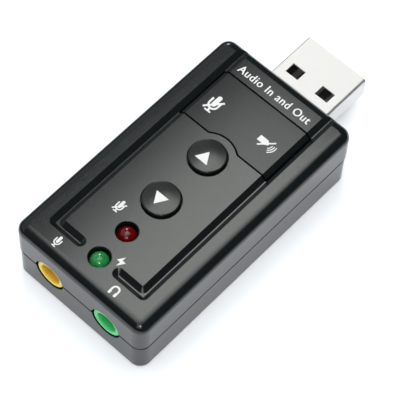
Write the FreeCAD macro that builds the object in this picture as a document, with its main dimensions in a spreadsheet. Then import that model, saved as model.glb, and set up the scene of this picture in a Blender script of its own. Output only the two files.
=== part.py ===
import FreeCAD, Part
import math
import os
import re

import Sketcher

# A USB sound card: a snap-together case on a USB-A plug, with two 3.5 mm jacks,
# two lights, two volume buttons and a rocking mute key over a circuit board.
# Millimetres. X across the case, +Y towards the plug, +Z up.
# The origin is the centre of the case's underside.

# Driving sizes. A name that ends in _share is a place along the case, as a share of its length
# from the jack end.
SIZES = [
    ("case_width", 26.0),
    ("case_length", 47.0),
    ("case_height", 13.0),
    ("parting_height", 6.25),
    ("wall", 1.4),
    ("floor_thick", 1.3),
    ("roof_thick", 1.4),
    ("corner_radius", 1.9),
    ("edge_round", 1.75),
    ("base_bevel", 0.5),
    ("lower_inset", 0.1),
    ("seam_bevel", 0.32),
    ("lip_thick", 0.6),
    ("lip_height", 1.2),
    ("lip_clear", 0.1),
    ("bead_radius", 0.2),
    ("bead_length", 8.0),
    ("bead_spacing", 22.0),
    ("post_radius", 1.2),
    ("post_pin_radius", 0.6),
    ("post_pin_reach", 1.0),
    ("post_pin_clear", 0.1),
    ("post_inset", 1.0),
    ("post_gap", 0.6),
    ("groove_inset", 4.2),
    ("groove_half", 0.95),
    ("groove_depth", 0.75),
    ("groove_floor", 0.2),
    ("groove_front", 4.85),
    ("groove_corner", 0.95),
    ("groove_inner_corner", 0.1),
    ("groove_gap", 2.95),
    ("led_radius", 1.5),
    ("led_height", 5.3),
    ("led_flange_radius", 1.9),
    ("led_flange_thick", 1.0),
    ("led_clear", 0.2),
    ("led_rim", 0.15),
    ("led_proud", 0.1),
    ("led_wire_radius", 0.25),
    ("led_wire_spacing", 1.8),
    ("led_wire_clear", 0.1),
    ("led_wire_reach", 0.4),
    ("power_led_share", 0.1043),
    ("mute_led_share", 0.2277),
    ("button_radius", 3.0),
    ("button_clear", 0.2),
    ("button_proud", 0.9),
    ("button_crown", 0.15),
    ("button_edge", 0.25),
    ("button_flange_lap", 0.3),
    ("button_flange_thick", 0.8),
    ("button_flange_gap", 0.05),
    ("button_stem_radius", 1.2),
    ("volume_down_share", 0.383),
    ("volume_up_share", 0.598),
    ("key_front_share", 0.6702),
    ("key_rear_share", 0.8851),
    ("key_gap", 0.3),
    ("key_wave", 4.45),
    ("key_blend", 0.8),
    ("key_beam_width", 1.8),
    ("key_foot_radius", 1.0),
    ("key_foot_gap", 0.02),
    ("pivot_drop", 1.2),
    ("pivot_radius", 0.5),
    ("pivot_clear", 0.05),
    ("pivot_side_gap", 0.1),
    ("lug_width", 2.4),
    ("lug_thick", 0.6),
    ("lug_rim", 0.55),
    ("mute_switch_inset", 2.9),
    ("mute_switch_clear", 0.15),
    ("mute_preload", 0.13),
    ("board_thick", 1.2),
    ("board_clear", 0.3),
    ("jack_offset", 5.75),
    ("jack_axis_rise", 2.5),
    ("jack_bore_radius", 1.8),
    ("jack_nose_radius", 2.6),
    ("jack_nose_clear", 0.2),
    ("jack_recess", 0.2),
    ("jack_rim", 0.3),
    ("jack_body_width", 6.0),
    ("jack_body_height", 5.0),
    ("jack_body_length", 11.4),
    ("jack_strip_thick", 0.3),
    ("jack_strip_width", 1.2),
    ("jack_strip_half", 0.7),
    ("jack_sleeve_depth", 2.0),
    ("jack_ring_depth", 5.6),
    ("jack_tip_depth", 9.2),
    ("plug_width", 12.0),
    ("plug_height", 4.5),
    ("plug_length", 11.7),
    ("plug_tail", 7.4),
    ("plug_rise", 0.7),
    ("plug_sheet", 0.3),
    ("plug_corner", 0.55),
    ("plug_clear", 0.1),
    ("plug_wing_width", 1.5),
    ("plug_wing_length", 2.4),
    ("plug_rest_length", 1.5),
    ("plug_rest_inset", 1.0),
    ("window_width", 2.5),
    ("window_length", 2.0),
    ("window_offset", 3.05),
    ("window_setback", 6.5),
    ("tongue_thick", 1.9),
    ("tongue_length", 9.0),
    ("tongue_setback", 0.5),
    ("contact_width", 1.0),
    ("contact_thick", 0.2),
    ("contact_inner_offset", 1.0),
    ("contact_outer_offset", 3.5),
    ("contact_setback", 0.8),
    ("contact_inner_step", 1.0),
    ("contact_tail", 0.5),
    ("contact_foot", 0.7),
    ("switch_width", 4.5),
    ("switch_base_height", 2.9),
    ("switch_cup_radius", 1.75),
    ("switch_cup_floor", 1.7),
    ("switch_cover_thick", 0.2),
    ("switch_height", 5.0),
    ("plunger_radius", 1.1),
    ("plunger_clear", 0.15),
    ("plunger_flange_radius", 1.45),
    ("plunger_flange_gap", 0.05),
    ("dome_radius", 1.6),
    ("dome_crown_radius", 0.9),
    ("dome_height", 0.4),
    ("dome_thick", 0.08),
    ("leg_width", 0.7),
    ("leg_thick", 0.2),
    ("leg_height", 1.4),
    ("leg_foot", 0.6),
    ("leg_spacing", 3.0),
    ("chip_width", 5.0),
    ("chip_thick", 1.2),
    ("chip_standoff", 0.1),
    ("chip_lead_pitch", 0.5),
    ("chip_lead_count", 8),
    ("chip_lead_width", 0.25),
    ("chip_lead_thick", 0.15),
    ("chip_lead_rise", 0.7),
    ("chip_lead_arm", 0.45),
    ("chip_lead_foot", 0.4),
    ("crystal_length", 6.0),
    ("crystal_width", 3.5),
    ("crystal_height", 1.2),
    ("crystal_corner", 0.5),
    ("column_gap", 1.0),
    ("capacitor_gap", 0.45),
    ("capacitor_radius", 2.0),
    ("capacitor_height", 5.4),
    ("capacitor_base", 4.3),
    ("capacitor_base_thick", 0.6),
    ("small_part_length", 1.0),
    ("small_part_width", 0.5),
    ("resistor_height", 0.35),
    ("ceramic_height", 0.5),
    ("small_part_pitch", 1.2),
    ("small_part_count", 4),
]

# Places that follow from the driving sizes, each written once.
LEVELS = {
    "front": "-case_length / 2",
    "rear": "case_length / 2",
    "roof_level": "case_height - roof_thick",
    "board_top": "parting_height - jack_axis_rise",
    "board_under": "board_top - board_thick",
    "lip_top": "parting_height + lip_height",
    "cavity_width": "case_width - 2 * wall",
    "cavity_length": "case_length - 2 * wall",
    "lip_width": "cavity_width + 2 * lip_thick",
    "lip_length": "cavity_length + 2 * lip_thick",
    "lip_corner": "corner_radius - wall + lip_thick",
    "bead_level": "parting_height + lip_height / 2",
    "plunger_top": "board_top + switch_height",
    "power_led_y": "front + case_length * power_led_share",
    "mute_led_y": "front + case_length * mute_led_share",
    "led_base": "case_height + led_proud - led_height",
    "volume_down_y": "front + case_length * volume_down_share",
    "volume_up_y": "front + case_length * volume_up_share",
    "mute_switch_x": "key_half - mute_switch_inset",
    "mute_switch_y": "contact_bend - contact_foot - mute_switch_clear - switch_side",
    "button_hole": "button_radius + button_clear",
    "key_front_y": "front + case_length * key_front_share",
    "key_rear_y": "front + case_length * key_rear_share",
    "groove_x": "case_width / 2 - groove_inset",
    "key_window": "groove_x + groove_floor / 2",
    "key_half": "key_window - key_gap",
    "key_flat": "groove_x - groove_half",
    "groove_run": "groove_half - groove_floor / 2",
    "groove_y": "front + groove_front",
    "pivot_level": "roof_level - pivot_drop",
    "lug_hole": "pivot_radius + pivot_clear",
    "front_lug_y": "volume_up_y + key_wave - key_gap / 2 - lug_thick",
    "rear_lug_y": "key_rear_y + key_gap / 2",
    "foot_level": "plunger_top - mute_preload + key_foot_gap",
    "jack_nose_y": "front + jack_recess",
    "jack_body_y": "front + wall",
    "jack_side": "jack_body_width / 2",
    "jack_opening": "jack_nose_radius + jack_nose_clear",
    "plug_tip": "rear + plug_length",
    "plug_tail_y": "rear - plug_tail",
    "plug_axis": "board_top + plug_rise",
    "plug_low": "plug_axis - plug_height / 2",
    "plug_inside": "plug_width - 2 * plug_sheet",
    "tongue_low": "plug_low + plug_sheet",
    "tongue_top": "tongue_low + tongue_thick",
    "contact_bend": "plug_tail_y - contact_tail",
    "window_y": "plug_tip - window_setback",
    "switch_side": "switch_width / 2",
    "dome_crown": "switch_cup_floor + dome_height",
    "chip_side": "chip_width / 2",
    "post_x": "cavity_width / 2 - post_inset - post_radius",
    "post_near_y": "jack_body_y + jack_body_length + post_gap + post_radius",
    "post_far_y": "rear_lug_y + post_radius + key_gap",
    "column_x": "(switch_side + leg_thick + leg_foot + cavity_width / 2 - board_clear) / 2",
    "capacitor_y": "post_near_y + post_radius + capacitor_gap + capacitor_base / 2",
    "column_y": "capacitor_y + capacitor_base / 2 + column_gap",
}

doc = FreeCAD.newDocument("usb_sound_card")
sheet = doc.addObject("Spreadsheet::Sheet", "Sizes")
for row, (alias, size) in enumerate(SIZES, 1):
    sheet.set(f"A{row}", alias)
    sheet.set(f"B{row}", str(size))
    sheet.setAlias(f"B{row}", alias)
doc.recompute()

ALIASES = {alias for alias, size in SIZES}
levels = doc.addObject("App::VarSet", "Levels")
pieces = []


def rule(text):
    """Turns plain size names into references to the sheet and to the levels."""
    def owner(match):
        word = match.group(0)
        if word in ALIASES:
            return f"Sizes.{word}"
        if word in LEVELS:
            return f"Levels.{word}"
        return word
    return re.sub(r"[a-z_]+", owner, text)


def bind(thing, rules):
    """Binds each property of an object to its rule."""
    for path, text in rules.items():
        thing.setExpression(path, rule(text))


for name, text in LEVELS.items():
    levels.addProperty("App::PropertyFloat", name)
for name, text in LEVELS.items():
    levels.setExpression(name, rule(text))
answers = doc.addObject("App::VarSet", "Answers")
answers.addProperty("App::PropertyFloat", "latest")
doc.recompute()


def number(text):
    """The value of a rule at the sheet's present sizes."""
    answers.setExpression("latest", rule(text))
    answers.recompute()
    return answers.latest


def new_body(label, x="0", y="0", z="0"):
    """Starts a piece of its own, with its place bound to the sheet."""
    body = doc.addObject("PartDesign::Body", label)
    body.Label = label
    bind(body, {"Placement.Base.x": x, "Placement.Base.y": y, "Placement.Base.z": z})
    pieces.append(body)
    return body


def origin(body, role):
    """One of a body's own planes or axes."""
    return next(item for item in body.Origin.OriginFeatures if item.Role == role)


def draw(sketch, points):
    """Draws one closed outline. A point is (x, y), and its edge to the next point is straight,
    or (x, y, radius, turn), and its edge is an arc that turns left or right."""
    spots = [FreeCAD.Vector(number(point[0]), number(point[1]), 0) for point in points]
    first = sketch.GeometryCount
    ends = []
    for index, point in enumerate(points):
        here = spots[index]
        there = spots[(index + 1) % len(points)]
        if len(point) == 2:
            sketch.addGeometry(Part.LineSegment(here, there))
            ends.append((1, 2))
            continue
        radius = number(point[2])
        chord = there - here
        side = 1 if point[3] == "left" else -1
        rise = math.sqrt(max(radius ** 2 - chord.Length ** 2 / 4, 0))
        across = FreeCAD.Vector(-chord.y, chord.x, 0).normalize()
        centre = (here + there) * 0.5 + across * rise * side
        start, stop = (here, there) if side > 0 else (there, here)
        turn = [math.atan2(spot.y - centre.y, spot.x - centre.x) for spot in (start, stop)]
        circle = Part.Circle(centre, FreeCAD.Vector(0, 0, 1), radius)
        arc = sketch.addGeometry(Part.ArcOfCircle(circle, turn[0], turn[1]))
        ends.append((1, 2) if side > 0 else (2, 1))
        held = sketch.addConstraint(Sketcher.Constraint("Radius", arc, radius))
        bind(sketch, {f"Constraints[{held}]": point[2]})
    for index, point in enumerate(points):
        after = (index + 1) % len(points)
        edge, next_edge = first + index, first + after
        sketch.addConstraint(Sketcher.Constraint("Coincident", edge, ends[index][1], next_edge, ends[after][0]))
        for kind, text, now in (("DistanceX", point[0], spots[index].x), ("DistanceY", point[1], spots[index].y)):
            held = sketch.addConstraint(Sketcher.Constraint(kind, -1, 1, edge, ends[index][0], now))
            bind(sketch, {f"Constraints[{held}]": text})


def new_sketch(body, name, plane, lift, loops):
    """A sketch on one of the body's planes, moved along the plane's normal."""
    sketch = body.newObject("Sketcher::SketchObject", name)
    sketch.AttachmentSupport = [(origin(body, plane), "")]
    sketch.MapMode = "FlatFace"
    bind(sketch, {"AttachmentOffset.Base.z": lift})
    for points in loops:
        draw(sketch, points)
    return sketch


def pad(body, name, plane, loops, low, length):
    """Raises outlines into a solid that starts at low along the plane's axis."""
    lift = f"-({low}) - ({length})" if plane == "XZ_Plane" else low
    feature_sketch = new_sketch(body, name + "_outline", plane, lift, loops)
    feature = body.newObject("PartDesign::Pad", name)
    feature.Profile = feature_sketch
    bind(feature, {"Length": length})
    doc.recompute()
    return feature


def pocket(body, name, loops, low, length):
    """Cuts level outlines from low upwards and compares the volume."""
    before = body.Shape.Volume
    feature_sketch = new_sketch(body, name + "_outline", "XY_Plane", f"({low}) + ({length})", loops)
    feature = body.newObject("PartDesign::Pocket", name)
    feature.Profile = feature_sketch
    bind(feature, {"Length": length})
    doc.recompute()
    if body.Shape.Volume >= before:
        raise RuntimeError(f"{name} cuts nothing")
    return feature


def spin(body, name, points):
    """Turns a half profile about the body's Z axis."""
    profile = new_sketch(body, name + "_profile", "XZ_Plane", "0", [points])
    feature = body.newObject("PartDesign::Revolution", name)
    feature.Profile = profile
    feature.ReferenceAxis = (profile, ["V_Axis"])
    feature.Angle = 360
    doc.recompute()
    return feature


def block(body, name, cut, low, size):
    """Adds or cuts a box from its low corner."""
    kind = "PartDesign::SubtractiveBox" if cut else "PartDesign::AdditiveBox"
    feature = body.newObject(kind, name)
    bind(feature, dict(zip(("Length", "Width", "Height"), size)))
    bind(feature, {f"Placement.Base.{axis}": text for axis, text in zip("xyz", low)})
    doc.recompute()
    return feature


def rod(body, name, cut, start, radius, length, along="z"):
    """Adds or cuts a round bar from the centre of its low end."""
    kind = "PartDesign::SubtractiveCylinder" if cut else "PartDesign::AdditiveCylinder"
    feature = body.newObject(kind, name)
    if along == "y":
        feature.Placement = FreeCAD.Placement(FreeCAD.Vector(), FreeCAD.Rotation(FreeCAD.Vector(1, 0, 0), -90))
    bind(feature, {"Radius": radius, "Height": length})
    bind(feature, {f"Placement.Base.{axis}": text for axis, text in zip("xyz", start)})
    doc.recompute()
    return feature


def dress(body, name, kind, size, wanted):
    """Rounds or bevels the edges of the present shape that pass a test."""
    base = body.Tip
    edges = [f"Edge{i}" for i, edge in enumerate(base.Shape.Edges, 1) if wanted(edge)]
    feature = body.newObject(f"PartDesign::{kind}", name)
    feature.Base = (base, edges)
    bind(feature, {"Radius" if kind == "Fillet" else "Size": size})
    doc.recompute()
    return feature


def level_at(text):
    """A test for edges that lie at one height."""
    height = number(text)
    return lambda edge: abs(edge.BoundBox.ZMin - height) < 1e-6 and abs(edge.BoundBox.ZMax - height) < 1e-6


def ring_at(text, radius_text):
    """A test for whole circles of one radius at one height."""
    at_level = level_at(text)
    radius = number(radius_text)

    def wanted(edge):
        return at_level(edge) and isinstance(edge.Curve, Part.Circle) and abs(edge.Curve.Radius - radius) < 1e-6
    return wanted


def upright_at(x_text, y_text):
    """A test for upright edges at (x, y) and at (-x, y)."""
    x, y = number(x_text), number(y_text)

    def wanted(edge):
        box = edge.BoundBox
        upright = box.XLength < 1e-6 and box.YLength < 1e-6
        return upright and abs(abs(box.XMin) - x) < 1e-4 and abs(box.YMin - y) < 1e-4
    return wanted


def rounded(width, length, radius, x="0", y="0"):
    """A rectangle about (x, y) with rounded corners."""
    west, east = f"{x} - ({width}) / 2", f"{x} + ({width}) / 2"
    south, north = f"{y} - ({length}) / 2", f"{y} + ({length}) / 2"
    return [
        (east, f"{south} + ({radius})"),
        (east, f"{north} - ({radius})", radius, "left"),
        (f"{east} - ({radius})", north),
        (f"{west} + ({radius})", north, radius, "left"),
        (west, f"{north} - ({radius})"),
        (west, f"{south} + ({radius})", radius, "left"),
        (f"{west} + ({radius})", south),
        (f"{east} - ({radius})", south, radius, "left"),
    ]


def mirrored(points):
    """The same straight-sided outline on the other side of the centre line."""
    return [(f"-({x})", y) for x, y in reversed(points)]


def rectangle(west, south, east, north):
    """A plain rectangle between two corners."""
    return [(west, south), (east, south), (east, north), (west, north)]


POST_PLACES = [
    (f"{side}post_x", y)
    for side in ("", "-")
    for y in ("post_near_y", "post_far_y")
]
BEAD_STARTS = [
    (f"{side}lip_width / 2", f"{end}bead_spacing / 2 - bead_length / 2")
    for side in ("", "-")
    for end in ("", "-")
]


def open_for_connectors(cover, plug_height_up):
    """Cuts a cover for the two jack noses and for the plug."""
    for name, x in (("headphone_mouth", "jack_offset"), ("microphone_mouth", "-jack_offset")):
        rod(cover, name, True, (x, "front - wall", "parting_height"), "jack_opening", "2.2 * wall", "y")
    block(
        cover, "plug_mouth", True,
        ("-plug_width / 2 - plug_clear", "rear - 1.2 * wall", "plug_low - plug_clear"),
        ("plug_width + 2 * plug_clear", "2.2 * wall", plug_height_up),
    )


def make_bottom_cover():
    """The lower shell: a tray with a tongue round its rim, posts for the board and a rest for the plug."""
    cover = new_body("bottom_cover")
    shell = rounded("case_width - 2 * lower_inset", "case_length - 2 * lower_inset", "corner_radius")
    pad(cover, "tray", "XY_Plane", [shell], "0", "parting_height")
    dress(cover, "underside_bevel", "Chamfer", "base_bevel", level_at("0"))
    dress(cover, "seam_edge", "Chamfer", "seam_bevel", level_at("parting_height"))
    pad(cover, "lip", "XY_Plane", [rounded("lip_width", "lip_length", "lip_corner")], "parting_height", "lip_height")
    for index, (x, y) in enumerate(BEAD_STARTS):
        rod(cover, f"snap_bead_{index}", False, (x, y, "bead_level"), "bead_radius", "bead_length", "y")
    inside = rounded("cavity_width", "cavity_length", "corner_radius - wall")
    pocket(cover, "inside", [inside], "floor_thick", "lip_top - floor_thick")
    open_for_connectors(cover, "lip_top - plug_low + plug_clear")
    for index, (x, y) in enumerate(POST_PLACES):
        rod(cover, f"post_{index}", False, (x, y, "floor_thick"), "post_radius", "board_under - floor_thick")
        pin_length = "board_thick + post_pin_reach"
        rod(cover, f"post_pin_{index}", False, (x, y, "board_under"), "post_pin_radius", pin_length)
    block(
        cover, "plug_rest", False,
        ("-plug_width / 2 + plug_rest_inset", "rear - wall - plug_rest_length", "floor_thick"),
        ("plug_width - 2 * plug_rest_inset", "plug_rest_length", "plug_low - floor_thick"),
    )


def groove_band(inset):
    """The right-hand V-groove at one level: from its rounded end beside the power light,
    round the panel's corner and out past the plug end."""
    west = "groove_gap"
    middle = f"{west} + groove_half"
    inner, outer = f"groove_x - groove_half + {inset}", f"groove_x + groove_half - {inset}"
    south, north = f"groove_y - groove_half + {inset}", f"groove_y + groove_half - {inset}"
    end_radius = f"groove_half - {inset}"
    outer_radius = f"groove_corner - {inset}"
    inner_radius = f"groove_inner_corner + {inset}"
    beyond = "rear + wall"
    return [
        (f"{west} + {inset}", "groove_y", end_radius, "left"),
        (middle, south),
        (f"{outer} - ({outer_radius})", south, outer_radius, "left"),
        (outer, f"{south} + {outer_radius}"),
        (outer, beyond),
        (inner, beyond),
        (inner, f"{north} + {inner_radius}", inner_radius, "right"),
        (f"{inner} - ({inner_radius})", north),
        (middle, north, end_radius, "left"),
    ]


def cut_groove(cover):
    """Cuts the tapering groove on both sides of the panel."""
    before = cover.Shape.Volume
    rim = new_sketch(cover, "groove_rim", "XY_Plane", "case_height", [groove_band("0")])
    bed = new_sketch(cover, "groove_bed", "XY_Plane", "case_height - groove_depth", [groove_band("groove_run")])
    right = cover.newObject("PartDesign::SubtractiveLoft", "groove_right")
    right.Profile = rim
    right.Sections = [bed]
    right.Ruled = True
    doc.recompute()
    left = cover.newObject("PartDesign::Mirrored", "groove_left")
    left.Originals = [right]
    left.MirrorPlane = (origin(cover, "YZ_Plane"), [""])
    cover.Tip = left
    doc.recompute()
    if cover.Shape.Volume >= before:
        raise RuntimeError("the groove cuts nothing")


def key_outline():
    """The window for the mute key: straight behind, with a bay round the volume-up button in front."""
    south, north = "key_front_y - key_gap / 2", "key_rear_y + key_gap / 2"
    bay = "key_wave - key_gap / 2"
    reach = f"sqrt(({bay}) * ({bay}) - (({south}) - volume_up_y) * (({south}) - volume_up_y))"
    return reach, [
        ("-key_window", south),
        (f"-({reach})", south, bay, "right"),
        (reach, south),
        ("key_window", south),
        ("key_window", north),
        ("-key_window", north),
    ]


def make_top_cover():
    """The upper shell: rounded edges, the panel's groove, openings for keys and lights,
    and inside it the hold-down posts and the lugs that the mute key rocks in."""
    cover = new_body("top_cover")
    shell = rounded("case_width", "case_length", "corner_radius")
    pad(cover, "hood", "XY_Plane", [shell], "parting_height", "case_height - parting_height")
    dress(cover, "top_edge", "Fillet", "edge_round", level_at("case_height"))
    dress(cover, "seam_edge", "Chamfer", "seam_bevel", level_at("parting_height"))
    cut_groove(cover)
    rebate = rounded("lip_width + 2 * lip_clear", "lip_length + 2 * lip_clear", "lip_corner + lip_clear")
    pocket(cover, "rebate", [rebate], "parting_height - seam_bevel", "lip_height + lip_clear + seam_bevel")
    inside = rounded("cavity_width", "cavity_length", "corner_radius - wall")
    pocket(cover, "inside", [inside], "parting_height - seam_bevel", "roof_level - parting_height + seam_bevel")
    for index, (x, y) in enumerate(BEAD_STARTS):
        start = (x, f"{y} - lip_clear", "bead_level")
        rod(cover, f"snap_recess_{index}", True, start, "bead_radius + lip_clear", "bead_length + 2 * lip_clear", "y")
    for name, y in (("power_light_hole", "power_led_y"), ("mute_light_hole", "mute_led_y")):
        rod(cover, name, True, ("0", y, "roof_level - wall"), "led_radius + led_clear", "roof_thick + 2 * wall")
    dress(cover, "light_rims", "Fillet", "led_rim", ring_at("case_height", "led_radius + led_clear"))
    for name, y in (("volume_down_hole", "volume_down_y"), ("volume_up_hole", "volume_up_y")):
        rod(cover, name, True, ("0", y, "roof_level - wall"), "button_hole", "roof_thick + 2 * wall")
    reach, window = key_outline()
    pocket(cover, "key_window", [window], "roof_level - wall", "roof_thick + 2 * wall")
    dress(cover, "key_window_blend", "Fillet", "key_blend", upright_at(reach, "key_front_y - key_gap / 2"))
    open_for_connectors(cover, "plug_height + 2 * plug_clear")
    for index, (x, y) in enumerate(POST_PLACES):
        rod(cover, f"post_{index}", False, (x, y, "board_top"), "post_radius", "roof_level - board_top")
        socket = "post_pin_reach + post_pin_clear"
        rod(cover, f"post_socket_{index}", True, (x, y, "board_top"), "post_pin_radius + post_pin_clear", socket)
    lug_low = "pivot_level - lug_hole - lug_rim"
    for name, y in (("front_lug", "front_lug_y"), ("rear_lug", "rear_lug_y")):
        low = ("-lug_width / 2", y, lug_low)
        block(cover, name, False, low, ("lug_width", "lug_thick", f"roof_level - ({lug_low})"))
        rod(cover, name + "_bore", True, ("0", y, "pivot_level"), "lug_hole", "lug_thick", "y")


def make_mute_key():
    """The rocking key: a plate whose sides carry on the groove's slope, a beam with a pin at each end,
    and a round-ended foot over each mute switch."""
    key = new_body("mute_key")
    side_level = "case_height - (key_half - key_flat) * groove_depth / groove_run"
    section = [
        ("-key_half", "roof_level"),
        ("key_half", "roof_level"),
        ("key_half", side_level),
        ("key_flat", "case_height"),
        ("-key_flat", "case_height"),
        ("-key_half", side_level),
    ]
    south = "key_front_y + key_gap / 2"
    pad(key, "plate", "XZ_Plane", [section], south, "key_rear_y - key_front_y - key_gap")
    bay = "key_wave + key_gap / 2"
    rod(key, "bay", True, ("0", "volume_up_y", "roof_level - wall"), bay, "roof_thick + 2 * wall")
    reach = f"sqrt(({bay}) * ({bay}) - (({south}) - volume_up_y) * (({south}) - volume_up_y))"
    dress(key, "bay_blend", "Fillet", "key_blend", upright_at(reach, south))
    beam_start = "front_lug_y + lug_thick + pivot_side_gap"
    beam_length = f"rear_lug_y - pivot_side_gap - ({beam_start})"
    beam_low = "pivot_level - lug_hole"
    block(
        key, "beam", False,
        ("-key_beam_width / 2", beam_start, beam_low),
        ("key_beam_width", beam_length, f"roof_level - ({beam_low})"),
    )
    pin_length = f"{beam_length} + 2 * (lug_thick + pivot_side_gap)"
    rod(key, "pivot_pin", False, ("0", "front_lug_y", "pivot_level"), "pivot_radius", pin_length, "y")
    for name, x in (("microphone_foot", "-mute_switch_x"), ("speaker_foot", "mute_switch_x")):
        shank_low = "foot_level + key_foot_radius"
        shank = f"roof_level - ({shank_low})"
        rod(key, name, False, (x, "mute_switch_y", shank_low), "key_foot_radius", shank)
        tip = key.newObject("PartDesign::AdditiveSphere", name + "_tip")
        bind(tip, {"Radius": "key_foot_radius"})
        bind(tip, {"Placement.Base.x": x, "Placement.Base.y": "mute_switch_y", "Placement.Base.z": shank_low})
    doc.recompute()


def make_button(label, y):
    """A volume button: a slightly crowned cap, a flange under the roof and a stem to its switch."""
    button = new_body(label, y=y)
    top = "case_height + button_proud"
    flat = "button_radius - button_edge"
    crown_radius = f"(({flat}) * ({flat}) + button_crown * button_crown) / (2 * button_crown)"
    flange_radius = "button_hole + button_flange_lap"
    flange_top = "roof_level - button_flange_gap"
    flange_low = f"{flange_top} - button_flange_thick"
    spin(button, "cap", [
        ("0", top, crown_radius, "right"),
        (flat, f"{top} - button_crown", "button_edge", "right"),
        ("button_radius", f"{top} - button_crown - button_edge"),
        ("button_radius", flange_top),
        (flange_radius, flange_top),
        (flange_radius, flange_low),
        ("button_stem_radius", flange_low),
        ("button_stem_radius", "plunger_top"),
        ("0", "plunger_top"),
    ])


def make_led(name, y):
    """A round 3 mm light with its flange, and the two wires that carry it."""
    lens = new_body(name + "_lens", y=y)
    dome_level = "case_height + led_proud - led_radius"
    spin(lens, "lens", [
        ("0", "case_height + led_proud", "led_radius", "right"),
        ("led_radius", dome_level),
        ("led_radius", "led_base + led_flange_thick"),
        ("led_flange_radius", "led_base + led_flange_thick"),
        ("led_flange_radius", "led_base"),
        ("0", "led_base"),
    ])
    leads = new_body(name + "_leads", y=y)
    low = "board_under - led_wire_reach"
    for wire, x in (("wire_left", "-led_wire_spacing / 2"), ("wire_right", "led_wire_spacing / 2")):
        rod(leads, wire, False, (x, "0", low), "led_wire_radius", f"led_base - ({low})")


def make_plug():
    """The USB-A plug: a folded steel shell, the insulator with its tongue, and four bent contacts."""
    shell = new_body("usb_plug_shell", z="plug_axis")
    outer = rounded("plug_width", "plug_height", "plug_corner")
    inner = rounded("plug_inside", "plug_height - 2 * plug_sheet", "plug_corner - plug_sheet")
    pad(shell, "tube", "XZ_Plane", [outer, inner], "plug_tail_y", "plug_tip - plug_tail_y")
    for name, x in (("window_left", "-window_offset"), ("window_right", "window_offset")):
        low = (f"{x} - window_width / 2", "window_y - window_length / 2", "-plug_height")
        block(shell, name, True, low, ("window_width", "window_length", "2 * plug_height"))
    wing_level = "board_top - plug_axis"
    for name, x in (("wing_left", "-plug_width / 2 - plug_wing_width"), ("wing_right", "plug_width / 2 - plug_sheet")):
        low = (x, "plug_tail_y", wing_level)
        block(shell, name, False, low, ("plug_wing_width + plug_sheet", "plug_wing_length", "plug_sheet"))

    insulator = new_body("usb_plug_insulator")
    inner_height = "plug_height - 2 * plug_sheet"
    core = rounded("plug_inside", inner_height, "plug_corner - plug_sheet", y="plug_axis")
    block_length = "plug_tip - tongue_length - plug_tail_y"
    pad(insulator, "core", "XZ_Plane", [core], "plug_tail_y", block_length)
    block(
        insulator, "tongue", False,
        ("-plug_inside / 2 + plug_corner - plug_sheet", "plug_tip - tongue_length", "tongue_low"),
        ("plug_inside - 2 * (plug_corner - plug_sheet)", "tongue_length - tongue_setback", "tongue_thick"),
    )
    contacts = (
        ("usb_contact_power", "-contact_outer_offset", "0"),
        ("usb_contact_data_minus", "-contact_inner_offset", "contact_inner_step"),
        ("usb_contact_data_plus", "contact_inner_offset", "contact_inner_step"),
        ("usb_contact_ground", "contact_outer_offset", "0"),
    )
    for label, x, step in contacts:
        west = f"{x} - contact_width / 2"
        tip = f"plug_tip - tongue_setback - contact_setback - {step}"
        slot_low = (west, "plug_tail_y", "tongue_top - contact_thick")
        block(insulator, label + "_slot", True, slot_low, ("contact_width", f"{tip} - plug_tail_y", "contact_thick"))
        contact = new_body(label)
        strip = [
            (tip, "tongue_top"),
            ("contact_bend", "tongue_top"),
            ("contact_bend", "board_top + contact_thick"),
            ("contact_bend - contact_foot", "board_top + contact_thick"),
            ("contact_bend - contact_foot", "board_top"),
            ("contact_bend + contact_thick", "board_top"),
            ("contact_bend + contact_thick", "tongue_top - contact_thick"),
            (tip, "tongue_top - contact_thick"),
        ]
        pad(contact, "strip", "YZ_Plane", [strip], west, "contact_width")


def make_jack(name, x):
    """A 3.5 mm jack: a moulded housing with a round nose, and three hooked contacts
    whose blades lie level with the wall of its bore."""
    housing = new_body(name + "_housing", x=x)
    nose = "jack_body_y - jack_nose_y"
    rod(housing, "nose", False, ("0", "jack_nose_y", "parting_height"), "jack_nose_radius", nose, "y")
    block(
        housing, "case", False,
        ("-jack_side", "jack_body_y", "board_top"),
        ("jack_body_width", "jack_body_length", "jack_body_height"),
    )
    length = f"{nose} + jack_body_length"
    rod(housing, "bore", True, ("0", "jack_nose_y", "parting_height"), "jack_bore_radius", length, "y")
    mouth = number("jack_nose_y")
    dress(housing, "mouth", "Fillet", "jack_rim", lambda edge: abs(edge.BoundBox.YMax - mouth) < 1e-6)
    contacts = (("sleeve", "jack_sleeve_depth", ""), ("ring", "jack_ring_depth", "-"), ("tip", "jack_tip_depth", ""))
    for part, depth, side in contacts:
        start = f"jack_body_y + {depth}"
        slot_west = "jack_bore_radius / 2" if side == "" else "-jack_side"
        block(
            housing, part + "_slot", True,
            (slot_west, start, "parting_height - jack_strip_half"),
            ("jack_side - jack_bore_radius / 2", "jack_strip_width", "2 * jack_strip_half"),
        )
        hook = [
            ("jack_bore_radius", "parting_height - jack_strip_half"),
            ("jack_bore_radius + jack_strip_thick", "parting_height - jack_strip_half"),
            ("jack_bore_radius + jack_strip_thick", "parting_height + jack_strip_half - jack_strip_thick"),
            ("jack_side", "parting_height + jack_strip_half - jack_strip_thick"),
            ("jack_side", "board_top"),
            ("jack_side + jack_strip_thick", "board_top"),
            ("jack_side + jack_strip_thick", "parting_height + jack_strip_half"),
            ("jack_bore_radius", "parting_height + jack_strip_half"),
        ]
        contact = new_body(f"{name}_{part}_contact", x=x)
        pad(contact, "strip", "XZ_Plane", [hook if side == "" else mirrored(hook)], start, "jack_strip_width")


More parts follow.
